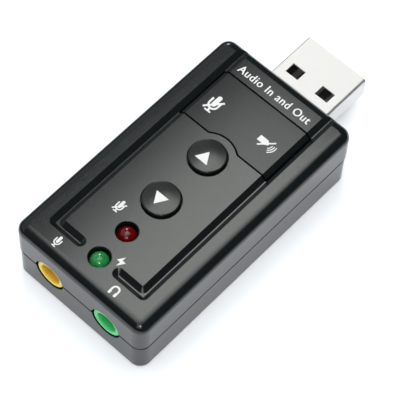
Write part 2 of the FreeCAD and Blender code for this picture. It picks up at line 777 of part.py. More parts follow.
def make_board():
    """The circuit board, notched for the plug and drilled for the posts and the wires of the lights."""
    board = new_body("circuit_board")
    west, east = "-cavity_width / 2 + board_clear", "cavity_width / 2 - board_clear"
    south, north = "-cavity_length / 2 + board_clear", "cavity_length / 2 - board_clear"
    notch = "plug_width / 2 + board_clear"
    edge = [
        (west, south),
        (east, south),
        (east, north),
        (notch, north),
        (notch, "plug_tail_y - board_clear"),
        (f"-({notch})", "plug_tail_y - board_clear"),
        (f"-({notch})", north),
        (west, north),
    ]
    pad(board, "laminate", "XY_Plane", [edge], "board_under", "board_thick")
    for index, (x, y) in enumerate(POST_PLACES):
        hole = "post_pin_radius + post_pin_clear"
        rod(board, f"post_hole_{index}", True, (x, y, "board_under"), hole, "board_thick")
    for name, y in (("power", "power_led_y"), ("mute", "mute_led_y")):
        for side in ("-", ""):
            hole = "led_wire_radius + led_wire_clear"
            start = (f"{side}led_wire_spacing / 2", y, "board_under")
            rod(board, f"{name}_wire_hole", True, start, hole, "board_thick")


def make_switch(name, x, y, preload):
    """A key switch: a cup with a snap dome, a steel cover, a flanged plunger and four soldered legs."""
    base = new_body(name + "_switch_base", x, y, "board_top")
    square = rectangle("-switch_side", "-switch_side", "switch_side", "switch_side")
    pad(base, "cup", "XY_Plane", [square], "0", "switch_base_height")
    depth = "switch_base_height - switch_cup_floor"
    rod(base, "well", True, ("0", "0", "switch_cup_floor"), "switch_cup_radius", depth)

    cover = new_body(name + "_switch_cover", x, y, "board_top")
    pad(cover, "plate", "XY_Plane", [square], "switch_base_height", "switch_cover_thick")
    hole = "plunger_radius + plunger_clear"
    rod(cover, "hole", True, ("0", "0", "switch_base_height"), hole, "switch_cover_thick")

    plunger = new_body(name + "_switch_plunger", x, y, f"board_top - {preload}")
    flange = "switch_base_height - plunger_flange_gap - dome_crown"
    rod(plunger, "flange", False, ("0", "0", "dome_crown"), "plunger_flange_radius", flange)
    rod(plunger, "stem", False, ("0", "0", "dome_crown"), "plunger_radius", "switch_height - dome_crown")

    dome = new_body(name + "_switch_dome", x, y, "board_top")
    crown = f"dome_crown - {preload}"
    spin(dome, "dish", [
        ("dome_radius", "switch_cup_floor"),
        ("dome_crown_radius", crown),
        ("0", crown),
        ("0", f"{crown} - dome_thick"),
        ("dome_crown_radius - dome_thick", f"{crown} - dome_thick"),
        ("dome_radius - 2 * dome_thick", "switch_cup_floor"),
    ])

    terminals = new_body(name + "_switch_terminals", x, y, "board_top")
    leg = [
        ("switch_side", "0"),
        ("switch_side + leg_thick + leg_foot", "0"),
        ("switch_side + leg_thick + leg_foot", "leg_thick"),
        ("switch_side + leg_thick", "leg_thick"),
        ("switch_side + leg_thick", "leg_height"),
        ("switch_side", "leg_height"),
    ]
    start = "-leg_spacing / 2 - leg_width / 2"
    pair = pad(terminals, "pair", "XZ_Plane", [leg, mirrored(leg)], start, "leg_width")
    repeat(terminals, "pairs", pair, "Y_Axis", "leg_spacing", "2")


def repeat(body, name, feature, axis, length, count):
    """Repeats a feature along one of the body's axes."""
    pattern = body.newObject("PartDesign::LinearPattern", name)
    pattern.Originals = [feature]
    pattern.Direction = (origin(body, axis), [""])
    bind(pattern, {"Length": length, "Occurrences": count})
    body.Tip = pattern
    doc.recompute()


def make_chip():
    """The audio chip: a flat package with rows of gull-wing leads on all four sides."""
    place = ("column_x", "column_y + chip_side + chip_lead_arm + chip_lead_foot", "board_top")
    chip = new_body("audio_chip", *place)
    low = ("-chip_side", "-chip_side", "chip_standoff")
    block(chip, "package", False, low, ("chip_width", "chip_width", "chip_thick"))
    leads = new_body("audio_chip_leads", *place)
    bend = "chip_side + chip_lead_arm"
    wing = [
        ("chip_side", "chip_lead_rise"),
        (f"{bend} - chip_lead_thick", "chip_lead_rise"),
        (f"{bend} - chip_lead_thick", "0"),
        (f"{bend} + chip_lead_foot", "0"),
        (f"{bend} + chip_lead_foot", "chip_lead_thick"),
        (bend, "chip_lead_thick"),
        (bend, "chip_lead_rise + chip_lead_thick"),
        ("chip_side", "chip_lead_rise + chip_lead_thick"),
    ]
    row = "(chip_lead_count - 1) * chip_lead_pitch"
    start = f"-({row}) / 2 - chip_lead_width / 2"
    for name, plane, axis in (("side", "XZ_Plane", "Y_Axis"), ("end", "YZ_Plane", "X_Axis")):
        pair = pad(leads, name + "_pair", plane, [wing, mirrored(wing)], start, "chip_lead_width")
        repeat(leads, name + "_rows", pair, axis, row, "chip_lead_count")


def make_board_parts():
    """The crystal, two electrolytic capacitors, and rows of chip resistors and ceramic capacitors."""
    crystal = new_body("crystal", "-column_x", "column_y + crystal_length / 2", "board_top")
    can = rounded("crystal_width", "crystal_length", "crystal_corner")
    pad(crystal, "can", "XY_Plane", [can], "0", "crystal_height")
    for name, side in (("supply_capacitor", "-"), ("output_capacitor", "")):
        capacitor = new_body(name, f"{side}column_x", "capacitor_y", "board_top")
        low = ("-capacitor_base / 2", "-capacitor_base / 2", "0")
        block(capacitor, "base", False, low, ("capacitor_base", "capacitor_base", "capacitor_base_thick"))
        rod(capacitor, "can", False, ("0", "0", "0"), "capacitor_radius", "capacitor_height")
    rows = (
        ("chip_resistors", "(volume_down_y + volume_up_y) / 2", "resistor_height"),
        ("chip_capacitors", "(volume_up_y + mute_switch_y) / 2", "ceramic_height"),
    )
    for label, y, height in rows:
        row = new_body(label, "0", y, "board_top")
        span = "(small_part_count - 1) * small_part_pitch"
        low = (f"-({span}) / 2 - small_part_width / 2", "-small_part_length / 2", "0")
        chip = block(row, "first", False, low, ("small_part_width", "small_part_length", height))
        repeat(row, "row", chip, "X_Axis", span, "small_part_count")


def check_and_write():
    """Stops on any failed object or shape, then writes each piece to a file of its own."""
    failed = [thing.Name for thing in doc.Objects if {"Invalid", "Error"} & set(thing.State)]
    failed += [piece.Label for piece in pieces if piece.Shape.isNull() or not piece.Shape.isValid()]
    if failed:
        raise RuntimeError("failed objects: " + ", ".join(failed))
    os.makedirs("parts", exist_ok=True)
    for piece in pieces:
        piece.Shape.exportStep(os.path.join("parts", piece.Label + ".step"))
    print(len(pieces), "pieces")


make_bottom_cover()
make_top_cover()
make_mute_key()
make_button("volume_up_button", "volume_up_y")
make_button("volume_down_button", "volume_down_y")
make_led("power_led", "power_led_y")
make_led("mute_led", "mute_led_y")
make_plug()
make_jack("microphone_jack", "-jack_offset")
make_jack("headphone_jack", "jack_offset")
make_board()
make_switch("volume_up", "0", "volume_up_y", "0")
make_switch("volume_down", "0", "volume_down_y", "0")
make_switch("microphone_mute", "-mute_switch_x", "mute_switch_y", "mute_preload")
make_switch("speaker_mute", "mute_switch_x", "mute_switch_y", "mute_preload")
make_chip()
make_board_parts()
doc.recompute()
check_and_write()
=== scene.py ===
import math

import bmesh
import bpy
from mathutils import Matrix, Vector


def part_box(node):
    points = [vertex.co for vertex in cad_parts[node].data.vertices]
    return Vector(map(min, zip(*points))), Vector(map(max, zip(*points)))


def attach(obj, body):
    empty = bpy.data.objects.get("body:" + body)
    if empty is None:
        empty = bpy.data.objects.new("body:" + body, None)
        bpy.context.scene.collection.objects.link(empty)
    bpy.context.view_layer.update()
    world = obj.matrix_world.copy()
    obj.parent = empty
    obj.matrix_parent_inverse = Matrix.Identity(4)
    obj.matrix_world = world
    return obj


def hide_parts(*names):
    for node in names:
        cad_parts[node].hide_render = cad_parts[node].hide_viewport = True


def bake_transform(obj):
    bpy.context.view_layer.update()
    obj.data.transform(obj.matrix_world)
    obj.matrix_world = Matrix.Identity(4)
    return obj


# A USB sound card lying on a white table under one large soft light.
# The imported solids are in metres. The printed signs are laid out in millimetres.

MM = 0.001
WHITE = "#ffffff"

# Patterns of the finishes, in millimetres
CLOUD_SIZE = 3.0
HAZE_SIZE = 0.9
WEAVE_SIZE = 0.5
MOTTLE_SIZE = 40.0
# Depth over which painted shade deepens a jack's colour from its lip into the bore
BORE_SHADE_DEPTH = 1.6

# The band that holds most of a noise, the share by which it moves the gloss, and the stretch of streaks
NOISE_LOW = 0.3
NOISE_HIGH = 0.7
PLASTIC_SPREAD = 0.15
METAL_SPREAD = 0.1
STREAK_STRETCH = (1.0, 0.04, 1.0)

# Print, in millimetres
INK_THICK = 0.008
INK_ROOT = 0.05
INK_STEP = 0.0015
CAP_CROWN_RADIUS = 25.3
ARROW_HEIGHT = 2.0
ARROW_HALF_WIDTH = 1.2
ARROW_ASIDE = -0.1
WORDS_ASIDE = -0.25
BOLD_SHIFT = (0.07, 0.03, 0.0)

# The number of levels that strokes of ink take turns at, and the spacing of letters as a share of the usual
INK_LEVELS = 5
LETTER_SPACING = 1.1

# Steps of round and curved shapes
DISC_STEPS = 24
ARC_STEPS = 16
ARROW_CUTS = 5
LETTER_STEPS = 4
TABLE_STEPS = 96

# Distances under which two points are one: metres on a dome, the type's own units on letters
DOME_WELD = 1e-7
LETTER_WELD = 1e-5

# Table: lengths in metres and shares of white, for its lit middle and for the painted dark reflection. In
# reflections only, the table's white ends a little way from the case and the table beyond is dim. The shape
# weighs the distance from the case across it and along it.
TABLE_RADIUS = 1.2
TABLE_DROP = 0.01 * MM
TABLE_LIFT = 0.28
LIT_REACH = 0.15
WHITE_REACH = 0.5
DARK_REFLECTION_SHAPE = (1.0, 0.4, 0.0)
DARK_REFLECTION_START = 0.01
DARK_REFLECTION_END = 0.04
DARK_REFLECTION_LOSS = 0.95

# Large softbox, in metres and watts: its edges, and the places from which it fades to the right and the front
LIGHT_HEIGHT = 2.0
SOFTBOX_LEFT = -0.785
SOFTBOX_RIGHT = 1.3
SOFTBOX_FRONT = -1.85
SOFTBOX_FAR = 1.065
SOFTBOX_POWER = 86.0
RIGHT_FADE = -0.65
FRONT_FADE = 0.75

# Studio: the brightness of its dim walls and of the left one, and the headings between which they meet
DIM_LEVEL = 0.05
LEFT_LEVEL = 0.45
LEFT_WALL_FULL = -0.44
LEFT_WALL_END = -0.36
LOW_BAND_FULL = 0.1
LOW_BAND_END = 0.16

# Camera, in degrees and millimetres
CAMERA_AZIMUTH = 39.6
CAMERA_ELEVATION = 60.34
CAMERA_ROLL = 3.57
CAMERA_TARGET = (0, 0.5, 5.0)
CAMERA_DISTANCE = 304.74
CAMERA_ACROSS = 1.89
CAMERA_UPWARDS = 0.196
CAMERA_SENSOR = 36.0
CAMERA_LENS = 180.14
CAMERA_NEAREST = 10.0

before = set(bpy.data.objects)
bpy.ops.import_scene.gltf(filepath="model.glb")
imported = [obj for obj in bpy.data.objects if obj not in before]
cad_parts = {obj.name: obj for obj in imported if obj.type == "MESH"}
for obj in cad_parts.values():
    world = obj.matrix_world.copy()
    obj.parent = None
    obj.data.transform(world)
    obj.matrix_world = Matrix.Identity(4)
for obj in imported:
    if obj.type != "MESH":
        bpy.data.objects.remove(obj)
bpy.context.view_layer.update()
scene = bpy.context.scene
scene.view_settings.view_transform = "Standard"

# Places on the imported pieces: the lip and the cover's corners in metres, the rest in millimetres
JACK_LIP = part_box("microphone_jack_housing")[0][1]
COVER_LOW, COVER_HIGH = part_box("top_cover")
JACK_END = COVER_LOW[1] / MM
PANEL_LEVEL = COVER_HIGH[2] / MM
CAP_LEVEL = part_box("volume_up_button")[1][2] / MM


# Helpers

def colour(code):
    """Turns an sRGB hex code into the linear colour that a shader takes."""
    channels = [int(code[i:i + 2], 16) / 255 for i in (1, 3, 5)]
    linear = [c / 12.92 if c <= 0.04045 else ((c + 0.055) / 1.055) ** 2.4 for c in channels]
    return (*linear, 1.0)


def per(size):
    """A texture scale that gives features of this size in millimetres."""
    return 1.0 / (size * MM)


def add(tree, kind, inputs=None, **settings):
    """Adds a node with its settings, and sets or links its inputs."""
    made = tree.nodes.new(kind)
    for name, value in settings.items():
        setattr(made, name, value)
    for name, value in (inputs or {}).items():
        if isinstance(value, bpy.types.NodeSocket):
            tree.links.new(value, made.inputs[name])
        else:
            made.inputs[name].default_value = value
    return made


def make_piece(name, mesh, material):
    """Makes a finished bmesh an object of the scene, with its place in its mesh."""
    data = bpy.data.meshes.new(name)
    mesh.to_mesh(data)
    mesh.free()
    data.materials.append(material)
    piece = bpy.data.objects.new(name, data)
    scene.collection.objects.link(piece)
    return piece


# Kinds of finish

def new_material(name):
    """An empty material, and the piece's own coordinates in it."""
    made = bpy.data.materials.new(name)
    made.use_nodes = True
    made.node_tree.nodes.clear()
    place = add(made.node_tree, "ShaderNodeTexCoord").outputs["Object"]
    return made, made.node_tree, place


def end_material(tree, shade, pattern, roughness, spread, relief, **more):
    """Ends a material. The pattern varies the gloss by a share of it and gives the relief in millimetres."""
    gloss = add(tree, "ShaderNodeMapRange", {
        "Value": pattern, "From Min": NOISE_LOW, "From Max": NOISE_HIGH,
        "To Min": roughness * (1 - spread), "To Max": roughness * (1 + spread),
    })
    bump = add(tree, "ShaderNodeBump", {"Height": pattern, "Strength": 1.0, "Distance": relief * MM})
    shader = add(tree, "ShaderNodeBsdfPrincipled", {
        "Base Color": shade, "Roughness": gloss.outputs["Result"], "Normal": bump.outputs["Normal"], **more,
    })
    add(tree, "ShaderNodeOutputMaterial", {"Surface": shader.outputs["BSDF"]})


def moulded(name, dark, light, roughness, grain, relief, **more):
    """A moulded plastic: a faint cloud of two shades, and the mould's grain in gloss and relief."""
    made, tree, place = new_material(name)
    cloud = add(tree, "ShaderNodeTexNoise", {"Vector": place, "Scale": per(CLOUD_SIZE), "Detail": 2.0})
    shade = add(tree, "ShaderNodeMix", {
        "Factor": cloud.outputs["Fac"], 6: colour(dark), 7: colour(light),
    }, data_type="RGBA")
    pores = add(tree, "ShaderNodeTexNoise", {"Vector": place, "Scale": per(grain), "Detail": 3.0})
    end_material(tree, shade.outputs[2], pores.outputs["Fac"], roughness, PLASTIC_SPREAD, relief, **more)
    return made


def dyed_with_painted_bore_shade(name, lip, shaded_throat, roughness, grain, relief):
    """Dyed plastic of a jack, with painted shade: its colour goes from a pale lip to a deep tone within a
    little depth of the bore, where less light reaches. The pale lip also stands in for light that the thin
    plastic lets through."""
    made, tree, place = new_material(name)
    ways = add(tree, "ShaderNodeSeparateXYZ", {"Vector": place})
    # Painted shade: the deep tone takes over with depth into the bore.
    bore_shade = add(tree, "ShaderNodeMapRange", {
        "Value": ways.outputs["Y"], "From Min": JACK_LIP, "From Max": JACK_LIP + BORE_SHADE_DEPTH * MM,
    })
    shade = add(tree, "ShaderNodeMix", {
        "Factor": bore_shade.outputs["Result"], 6: colour(lip), 7: colour(shaded_throat),
    }, data_type="RGBA")
    pores = add(tree, "ShaderNodeTexNoise", {"Vector": place, "Scale": per(grain), "Detail": 3.0})
    end_material(tree, shade.outputs[2], pores.outputs["Fac"], roughness, PLASTIC_SPREAD, relief)
    return made


def metal(name, dark, light, roughness, streak, relief):
    """A rolled or drawn metal: fine streaks along the piece in shade, gloss and relief."""
    made, tree, place = new_material(name)
    stretch = add(tree, "ShaderNodeMapping", {"Vector": place, "Scale": STREAK_STRETCH})
    lines = add(tree, "ShaderNodeTexNoise", {
        "Vector": stretch.outputs["Vector"], "Scale": per(streak), "Detail": 4.0,
    })
    shade = add(tree, "ShaderNodeMix", {
        "Factor": lines.outputs["Fac"], 6: colour(dark), 7: colour(light),
    }, data_type="RGBA")
    end_material(tree, shade.outputs[2], lines.outputs["Fac"], roughness, METAL_SPREAD, relief, Metallic=1.0)
    return made


def epoxy(name, deep, bright, glow):
    """Tinted cast epoxy: clear and very smooth, with a milky filler that lifts the colour inside."""
    made, tree, place = new_material(name)
    haze = add(tree, "ShaderNodeTexNoise", {"Vector": place, "Scale": per(HAZE_SIZE), "Detail": 2.0})
    shade = add(tree, "ShaderNodeMix", {
        "Factor": haze.outputs["Fac"], 6: colour(deep), 7: colour(bright),
    }, data_type="RGBA")
    shader = add(tree, "ShaderNodeBsdfPrincipled", {
        "Base Color": shade.outputs[2], "Roughness": 0.06, "IOR": 1.54, "Transmission Weight": 0.75,
        "Subsurface Weight": 0.35, "Subsurface Radius": glow, "Subsurface Scale": 1.2 * MM,
    })
    add(tree, "ShaderNodeOutputMaterial", {"Surface": shader.outputs["BSDF"]})
    return made


def laminate(name, light, dark, gap):
    """Glass cloth in clear resin under lacquer, with the weave in shade and relief."""
    made, tree, place = new_material(name)
    weave = add(tree, "ShaderNodeTexBrick", {
        "Vector": place, "Color1": colour(light), "Color2": colour(dark), "Mortar": colour(gap),
        "Scale": per(WEAVE_SIZE), "Mortar Size": 0.05,
    })
    bump = add(tree, "ShaderNodeBump", {
        "Height": weave.outputs["Fac"], "Strength": 0.4, "Distance": 0.005 * MM,
    })
    shader = add(tree, "ShaderNodeBsdfPrincipled", {
        "Base Color": weave.outputs["Color"], "Roughness": 0.3, "Normal": bump.outputs["Normal"],
    })
    add(tree, "ShaderNodeOutputMaterial", {"Surface": shader.outputs["BSDF"]})
    return made


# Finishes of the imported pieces, by material slot. Grain, streak and relief are in millimetres.

FINISHES = {
    # Black ABS from a polished mould: a clear grey sheen on flat faces and near-black rounded edges.
    # The real grain is finer than a pixel, so it is drawn at 0.3 mm.
    "case_plastic": moulded("moulded_black_abs", "#0b0f10", "#101618",
                            roughness=0.12, grain=0.3, relief=0.0004, IOR=1.54),
    # The same ABS on the caps, but from a satin mould: a broader, softer sheen.
    "button_plastic": moulded("satin_black_abs", "#101213", "#151718",
                              roughness=0.2, grain=0.3, relief=0.0003, IOR=1.54),
    # Cast epoxy of the lights: deep colour at the rim, brighter where light comes back out.
    "green_lens": epoxy("cast_green_epoxy", "#2fc463", "#58e08a", glow=(0.3, 1.0, 0.4)),
    "red_lens": epoxy("cast_red_epoxy", "#8c060d", "#a80a12", glow=(1.0, 0.2, 0.2)),
    # Nickel on rolled steel: nearly white, with faint rolling lines along the plug.
    "plug_steel": metal("nickel_plated_rolled_steel", "#dcdadb", "#e4e2e2",
                        roughness=0.48, streak=0.3, relief=0.0001),
    # Black PBT of the plug's tongue: dull.
    "plug_plastic": moulded("moulded_black_pbt", "#0d0d0e", "#141415",
                            roughness=0.45, grain=0.25, relief=0.001),
    # Dyed polypropylene of the two jacks: satin, with painted shade that turns the pale lip's colour deep in
    # the bore.
    "microphone_plastic": dyed_with_painted_bore_shade("moulded_yellow_polypropylene", "#f9da50", "#d98c06",
                               roughness=0.3, grain=0.3, relief=0.0006),
    "headphone_plastic": dyed_with_painted_bore_shade("moulded_green_polypropylene", "#5ee08e", "#12a845",
                              roughness=0.3, grain=0.3, relief=0.0006),
    # Nickel-plated brass spring strip: pale grey with a warm cast.
    "contact_brass": metal("nickel_plated_spring_brass", "#b9b3a2", "#cdc7b6",
                           roughness=0.25, streak=0.12, relief=0.0003),
    # Tin on copper: grey and a little dull.
    "tinned_wire": metal("hot_tinned_copper", "#a9a9a6", "#c4c4c0",
                         roughness=0.35, streak=0.15, relief=0.0008),
    # Stamped stainless strip: a plain steel grey with fine lines from the rolls.
    "switch_steel": metal("stamped_stainless_steel", "#a9a7a2", "#c0beb9",
                          roughness=0.3, streak=0.12, relief=0.0006),
    # Glass-filled nylon: black and matt.
    "switch_plastic": moulded("moulded_black_nylon", "#121212", "#1c1c1c",
                              roughness=0.5, grain=0.2, relief=0.0015),
    # Glass-cloth laminate under green lacquer: the weave shows as a faint grid.
    "board_laminate": laminate("lacquered_glass_laminate", "#1d6237", "#185530", "#134626"),
    # Transfer-moulded epoxy: dark grey, eroded matt.
    "chip_resin": moulded("moulded_chip_epoxy", "#151515", "#1e1e1f",
                          roughness=0.55, grain=0.15, relief=0.002),
    # Drawn nickel lid of the crystal: pale, and the brightest metal on the board.
    "crystal_can": metal("drawn_nickel_can", "#bdbbb6", "#d0cec9",
                         roughness=0.22, streak=0.15, relief=0.0005),
    # Bare drawn aluminium: a cool pale grey with a satin sheen.
    "capacitor_can": metal("drawn_aluminium_can", "#b9bbbd", "#d0d2d3",
                           roughness=0.35, streak=0.12, relief=0.0008),
    # Fired ceramic of the chip capacitors: tan and dull.
    "chip_ceramic": moulded("fired_tan_ceramic", "#a98a62", "#bea07a",
                            roughness=0.5, grain=0.15, relief=0.001),
}
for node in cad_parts.values():
    for index, old in enumerate(node.data.materials):
        node.data.materials[index] = FINISHES[old.name]

# Black acetal of the rocking key: a slippery moulding whose sheen is a little darker than the case's.
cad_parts["mute_key"].data.materials[0] = moulded(
    "moulded_black_acetal", "#0b0f10", "#101618", roughness=0.12, grain=0.3, relief=0.0004, IOR=1.45)


# Snap domes of the four switches

def make_dome(switch, body):
    """A snap dome: a welded copy of the imported dome as a piece of its own, with the imported one hidden."""
    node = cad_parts[f"{switch}_switch_dome"]
    mesh = bmesh.new()
    mesh.from_mesh(node.data)
    bmesh.ops.remove_doubles(mesh, verts=mesh.verts[:], dist=DOME_WELD)
    dome = make_piece(f"{switch}_snap_dome", mesh, FINISHES["switch_steel"])
    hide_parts(node.name)
    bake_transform(dome)


# The body of the plunger that presses each dome
PLUNGER_BODIES = {
    "volume_up": "volume_up",
    "volume_down": "volume_down",
    "microphone_mute": "microphone_mute_plunger",
    "speaker_mute": "speaker_mute_plunger",
}
for switch, body in PLUNGER_BODIES.items():
    make_dome(switch, body)


# Signs, each drawn in units of its own height from its foot

class Pen:
    """Draws the strokes of one sign on a flat mesh, in millimetres on the panel."""

    def __init__(self, x, y, size):
        self.mesh = bmesh.new()
        self.x = x
        self.y = y
        self.size = size

    def at(self, point):
        """Where a point of the sign is on the panel."""
        return Vector((self.x + point[0] * self.size, self.y + point[1] * self.size, 0))

    def bar(self, start, stop, width):
        """A straight stroke between two points: a square of one unit, stretched and turned."""
        first = self.at(start)
        last = self.at(stop)
        run = last - first
        place = Matrix.Translation((first + last) / 2)
        turn = Matrix.Rotation(math.atan2(run.y, run.x), 4, "Z")
        stretch = Matrix.Diagonal((run.length, width * self.size, 1, 1))
        made = bmesh.ops.create_grid(self.mesh, x_segments=1, y_segments=1, size=0.5)
        bmesh.ops.transform(self.mesh, matrix=place @ turn @ stretch, verts=made["verts"])

    def capsule(self, centre, radius, length):
        """An upright capsule: a disc whose upper half is moved up by the length."""
        reach = radius * self.size
        half_step = reach * math.sin(math.pi / DISC_STEPS)
        made = bmesh.ops.create_circle(self.mesh, cap_ends=True, radius=reach, segments=DISC_STEPS)
        upper = [vert for vert in made["verts"] if vert.co.y > half_step]
        bmesh.ops.translate(self.mesh, vec=(0, length * self.size, 0), verts=upper)
        bmesh.ops.translate(self.mesh, vec=self.at(centre), verts=made["verts"])

    def arc(self, centre, radius, width, start, turn):
        """A curved stroke: a short radial edge spun round its centre. Angles are in degrees."""
        pivot = self.at(centre)
        heading = Vector((math.cos(math.radians(start)), math.sin(math.radians(start)), 0))
        reaches = [radius * self.size + side * (width * self.size) / 2 for side in (-1, 1)]
        ends = [self.mesh.verts.new(pivot + heading * reach) for reach in reaches]
        edge = self.mesh.edges.new(ends)
        bmesh.ops.spin(self.mesh, geom=[*ends, edge], cent=pivot, axis=(0, 0, 1),
                       angle=math.radians(turn), steps=ARC_STEPS)

    def patch(self, corners):
        """A flat patch with straight sides."""
        self.mesh.faces.new([self.mesh.verts.new(self.at(corner)) for corner in corners])


def draw_microphone(pen):
    """A microphone on a stand."""
    pen.capsule((0, 0.46), 0.115, 0.42)
    pen.arc((0, 0.46), 0.24, 0.1, 180, 180)
    for x in (-0.24, 0.24):
        pen.bar((x, 0.45), (x, 0.74), 0.1)
    pen.bar((0, 0.05), (0, 0.25), 0.1)
    pen.bar((-0.17, 0.035), (0.17, 0.035), 0.085)


def draw_muted_microphone(pen):
    """The same microphone, crossed out."""
    draw_microphone(pen)
    pen.bar((-0.32, 0.08), (0.34, 0.84), 0.1)


def draw_bolt(pen):
    """A lightning bolt."""
    pen.patch(((0.02, 1.0), (-0.36, 0.42), (-0.02, 0.5), (0.34, 0.62), (0.0, 0.62)))
    pen.patch(((-0.02, 0.5), (-0.36, 0.42), (-0.04, 0.42), (-0.06, 0.0), (0.34, 0.62)))


def draw_headphones(pen):
    """A headband with two ear pads."""
    pen.arc((0, 0.6), 0.33, 0.17, 0, 180)
    for side in (-1, 1):
        pen.bar((side * 0.33, 0.06), (side * 0.33, 0.62), 0.17)
        pen.bar((side * 0.3, 0), (side * 0.3, 0.36), 0.24)


def draw_muted_speaker(pen):
    """A crossed-out speaker with three sound waves."""
    pen.bar((-0.78, 0.57), (-0.12, 0.57), 0.46)
    pen.patch(((-0.12, 0.36), (0.1, 0.5), (0.1, 0.62), (-0.12, 0.78)))
    pen.bar((-0.52, 0.06), (0.4, 0.98), 0.11)
    for radius in (0.34, 0.5, 0.66):
        pen.arc((0.02, 0.58), radius, 0.075, -58, 72)


# Printing

# White pad-print ink: a thin matt film that lets a little of the black through.
ink = moulded("white_pad_print_ink", "#d9dbdb", "#e3e5e5", roughness=0.45, grain=0.2, relief=0.0008)


def strokes(mesh):
    """The separate strokes of a sign, each as a set of joined vertices, from left to right."""
    taken = set()
    for first in sorted(mesh.verts, key=lambda vert: vert.co.x):
        if first in taken:
            continue
        joined = {first}
        fresh = [first]
        while fresh:
            near = {edge.other_vert(vert) for vert in fresh for edge in vert.link_edges} - joined
            joined |= near
            fresh = list(near)
        taken |= joined
        yield joined


def print_piece(name, body, mesh, level):
    """Gives flat outlines the thickness of the ink, rooted a little way into the plastic.
    The level is a function that gives the plastic's height at a place.
    Strokes that cross lie a hair above each other, as printed ink does."""
    bmesh.ops.recalc_face_normals(mesh, faces=mesh.faces[:])
    for face in mesh.faces:
        if face.normal.z < 0:
            face.normal_flip()
    for number, stroke in enumerate(strokes(mesh)):
        for vert in stroke:
            vert.co.z = level(vert.co.x, vert.co.y) + INK_THICK + number % INK_LEVELS * INK_STEP
    second = bmesh.ops.extrude_face_region(mesh, geom=mesh.faces[:], use_keep_orig=True)
    sunk = [item for item in second["geom"] if isinstance(item, bmesh.types.BMVert)]
    bmesh.ops.translate(mesh, vec=(0, 0, -INK_THICK - INK_ROOT), verts=sunk)
    bmesh.ops.recalc_face_normals(mesh, faces=mesh.faces[:])
    bmesh.ops.scale(mesh, vec=(MM, MM, MM), verts=mesh.verts[:])
    piece = make_piece(name, mesh, ink)
    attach(piece, body)


def panel(x, y):
    """The level of the panel and the mute key."""
    return PANEL_LEVEL


def crown(middle):
    """The level of a cap's crown, middle being its centre's place along the case."""
    def height(x, y):
        return CAP_LEVEL - (x * x + (y - middle) ** 2) / (2 * CAP_CROWN_RADIUS)
    return height


def print_sign(name, body, draw, x, front, size):
    """Prints one sign of this height on the panel or the mute key, at a distance from the jack end."""
    pen = Pen(x, JACK_END + front, size)
    draw(pen)
    print_piece(name, body, pen.mesh, panel)


def print_arrow(side, front, turn, shift):
    """Prints the volume triangle of a cap, divided so that it follows the cap's crown."""
    middle = JACK_END + front
    mesh = bmesh.new()
    corners = bmesh.ops.create_circle(mesh, cap_ends=True, radius=1.0, segments=3)["verts"]
    half = max(vert.co.x for vert in corners)
    tall = max(vert.co.y for vert in corners) - min(vert.co.y for vert in corners)
    bmesh.ops.scale(mesh, vec=(ARROW_HALF_WIDTH / half, ARROW_HEIGHT / tall, 1), verts=corners)
    bmesh.ops.subdivide_edges(mesh, edges=mesh.edges[:], cuts=ARROW_CUTS, use_grid_fill=True)
    bmesh.ops.scale(mesh, vec=(1, turn, 1), verts=mesh.verts[:])
    bmesh.ops.translate(mesh, vec=(ARROW_ASIDE, middle + shift, 0), verts=mesh.verts[:])
    print_piece(f"volume_{side}_sign", f"volume_{side}", mesh, crown(middle))


def print_words(name, words, width, height, front):
    """Sets one line of plain words across the panel, made a mesh before it is placed.
    The letters are printed twice with a small shift, which makes their strokes bold."""
    letters = bpy.data.curves.new(name, "FONT")
    letters.body = words
    letters.align_x = "CENTER"
    letters.space_character = LETTER_SPACING
    letters.resolution_u = LETTER_STEPS
    setting = bpy.data.objects.new(name, letters)
    scene.collection.objects.link(setting)
    bpy.context.view_layer.update()
    flat = bpy.data.meshes.new_from_object(setting.evaluated_get(bpy.context.evaluated_depsgraph_get()))
    mesh = bmesh.new()
    mesh.from_mesh(flat)
    bpy.data.objects.remove(setting)
    bpy.data.curves.remove(letters)
    bpy.data.meshes.remove(flat)
    bmesh.ops.remove_doubles(mesh, verts=mesh.verts[:], dist=LETTER_WELD)
    left, foot = (min(vert.co[axis] for vert in mesh.verts) for axis in (0, 1))
    right, top = (max(vert.co[axis] for vert in mesh.verts) for axis in (0, 1))
    fit = (width / (right - left), height / (top - foot), 1)
    bmesh.ops.translate(mesh, vec=(-(left + right) / 2, -foot, 0), verts=mesh.verts[:])
    bmesh.ops.scale(mesh, vec=fit, verts=mesh.verts[:])
    bmesh.ops.translate(mesh, vec=(WORDS_ASIDE, JACK_END + front, 0), verts=mesh.verts[:])
    second = bmesh.ops.duplicate(mesh, geom=[*mesh.verts, *mesh.edges, *mesh.faces])
    again = [item for item in second["geom"] if isinstance(item, bmesh.types.BMVert)]
    bmesh.ops.translate(mesh, vec=BOLD_SHIFT, verts=again)
    print_piece(name, "case", mesh, panel)


print_sign("microphone_sign", "case", draw_microphone, x=-6.19, front=1.55, size=2.0)
print_sign("headphone_sign", "case", draw_headphones, x=5.45, front=1.6, size=1.7)
print_sign("power_sign", "case", draw_bolt, x=2.85, front=5.5, size=2.0)
print_sign("mute_light_sign", "case", draw_muted_microphone, x=-3.72, front=11.9, size=2.25)
print_sign("microphone_mute_sign", "mute_key", draw_muted_microphone, x=-5.7, front=34.1, size=3.4)
print_sign("speaker_mute_sign", "mute_key", draw_muted_speaker, x=4.9, front=34.85, size=2.25)

# The triangles sit a little towards the jack end of their caps, as the pad print put them.
print_arrow("up", front=28.1, turn=1, shift=-0.8)
print_arrow("down", front=18.0, turn=-1, shift=-0.25)

print_words("function_words", "Audio In and Out", width=14.2, height=1.42, front=42.7)


# Table

